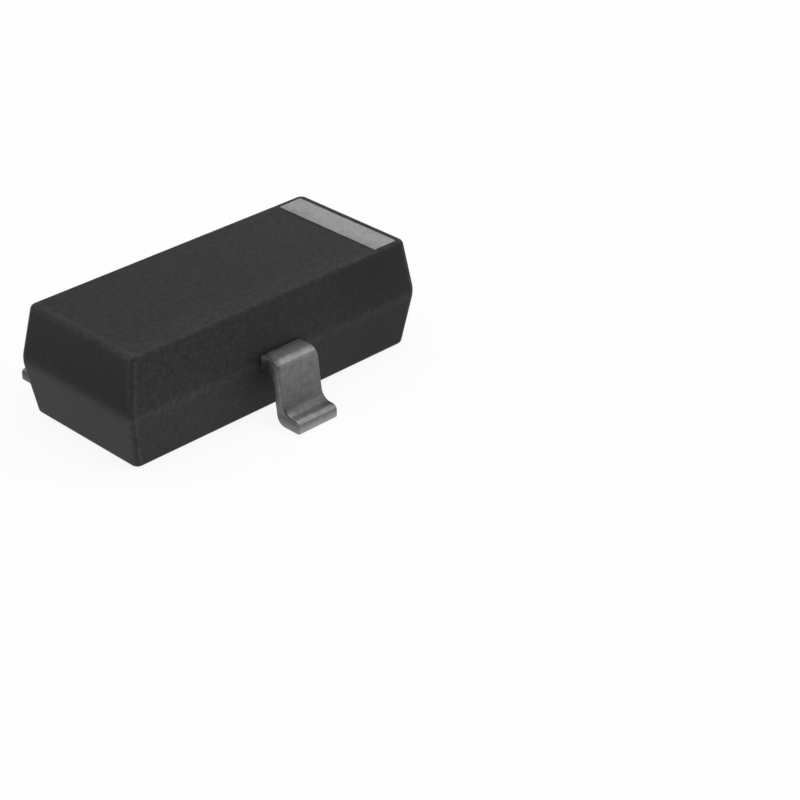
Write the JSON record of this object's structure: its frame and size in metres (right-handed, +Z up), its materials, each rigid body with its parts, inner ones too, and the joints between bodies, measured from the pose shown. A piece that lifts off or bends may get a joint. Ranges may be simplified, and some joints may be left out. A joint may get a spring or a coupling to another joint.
{
  "type": "zener diode",
  "caption": "Small surface-mount zener diode: a drafted charcoal plastic block with gull-wing leads front and rear and a pale grey band across one end of the top.",
  "frame": {"origin": "On the board plane under the soles, midway between the front and rear toes and midway along the body.", "axes": "+X runs along the body to the end with the printed band, -Y points to the single lead, +Z is up from the board."},
  "size_m": [0.0028, 0.0022, 0.0009],
  "materials": {
    "moulding_compound": "matt charcoal epoxy with a fine grain",
    "band_ink": "flat grey print",
    "tinned_strip": "satin tin plate",
    "silicon": "polished silicon",
    "conductive_adhesive": "dull silver paste, cured",
    "gold_wire": "drawn gold wire"
  },
  "bodies": {
    "root": {"moulded_body": "moulding_compound", "printed_band": "band_ink", "cathode_lead": "tinned_strip", "anode_lead": "tinned_strip", "spare_lead": "tinned_strip", "zener_die": "silicon", "die_attach": "conductive_adhesive", "bond_wire": "gold_wire"}
  },
  "joints": []
}
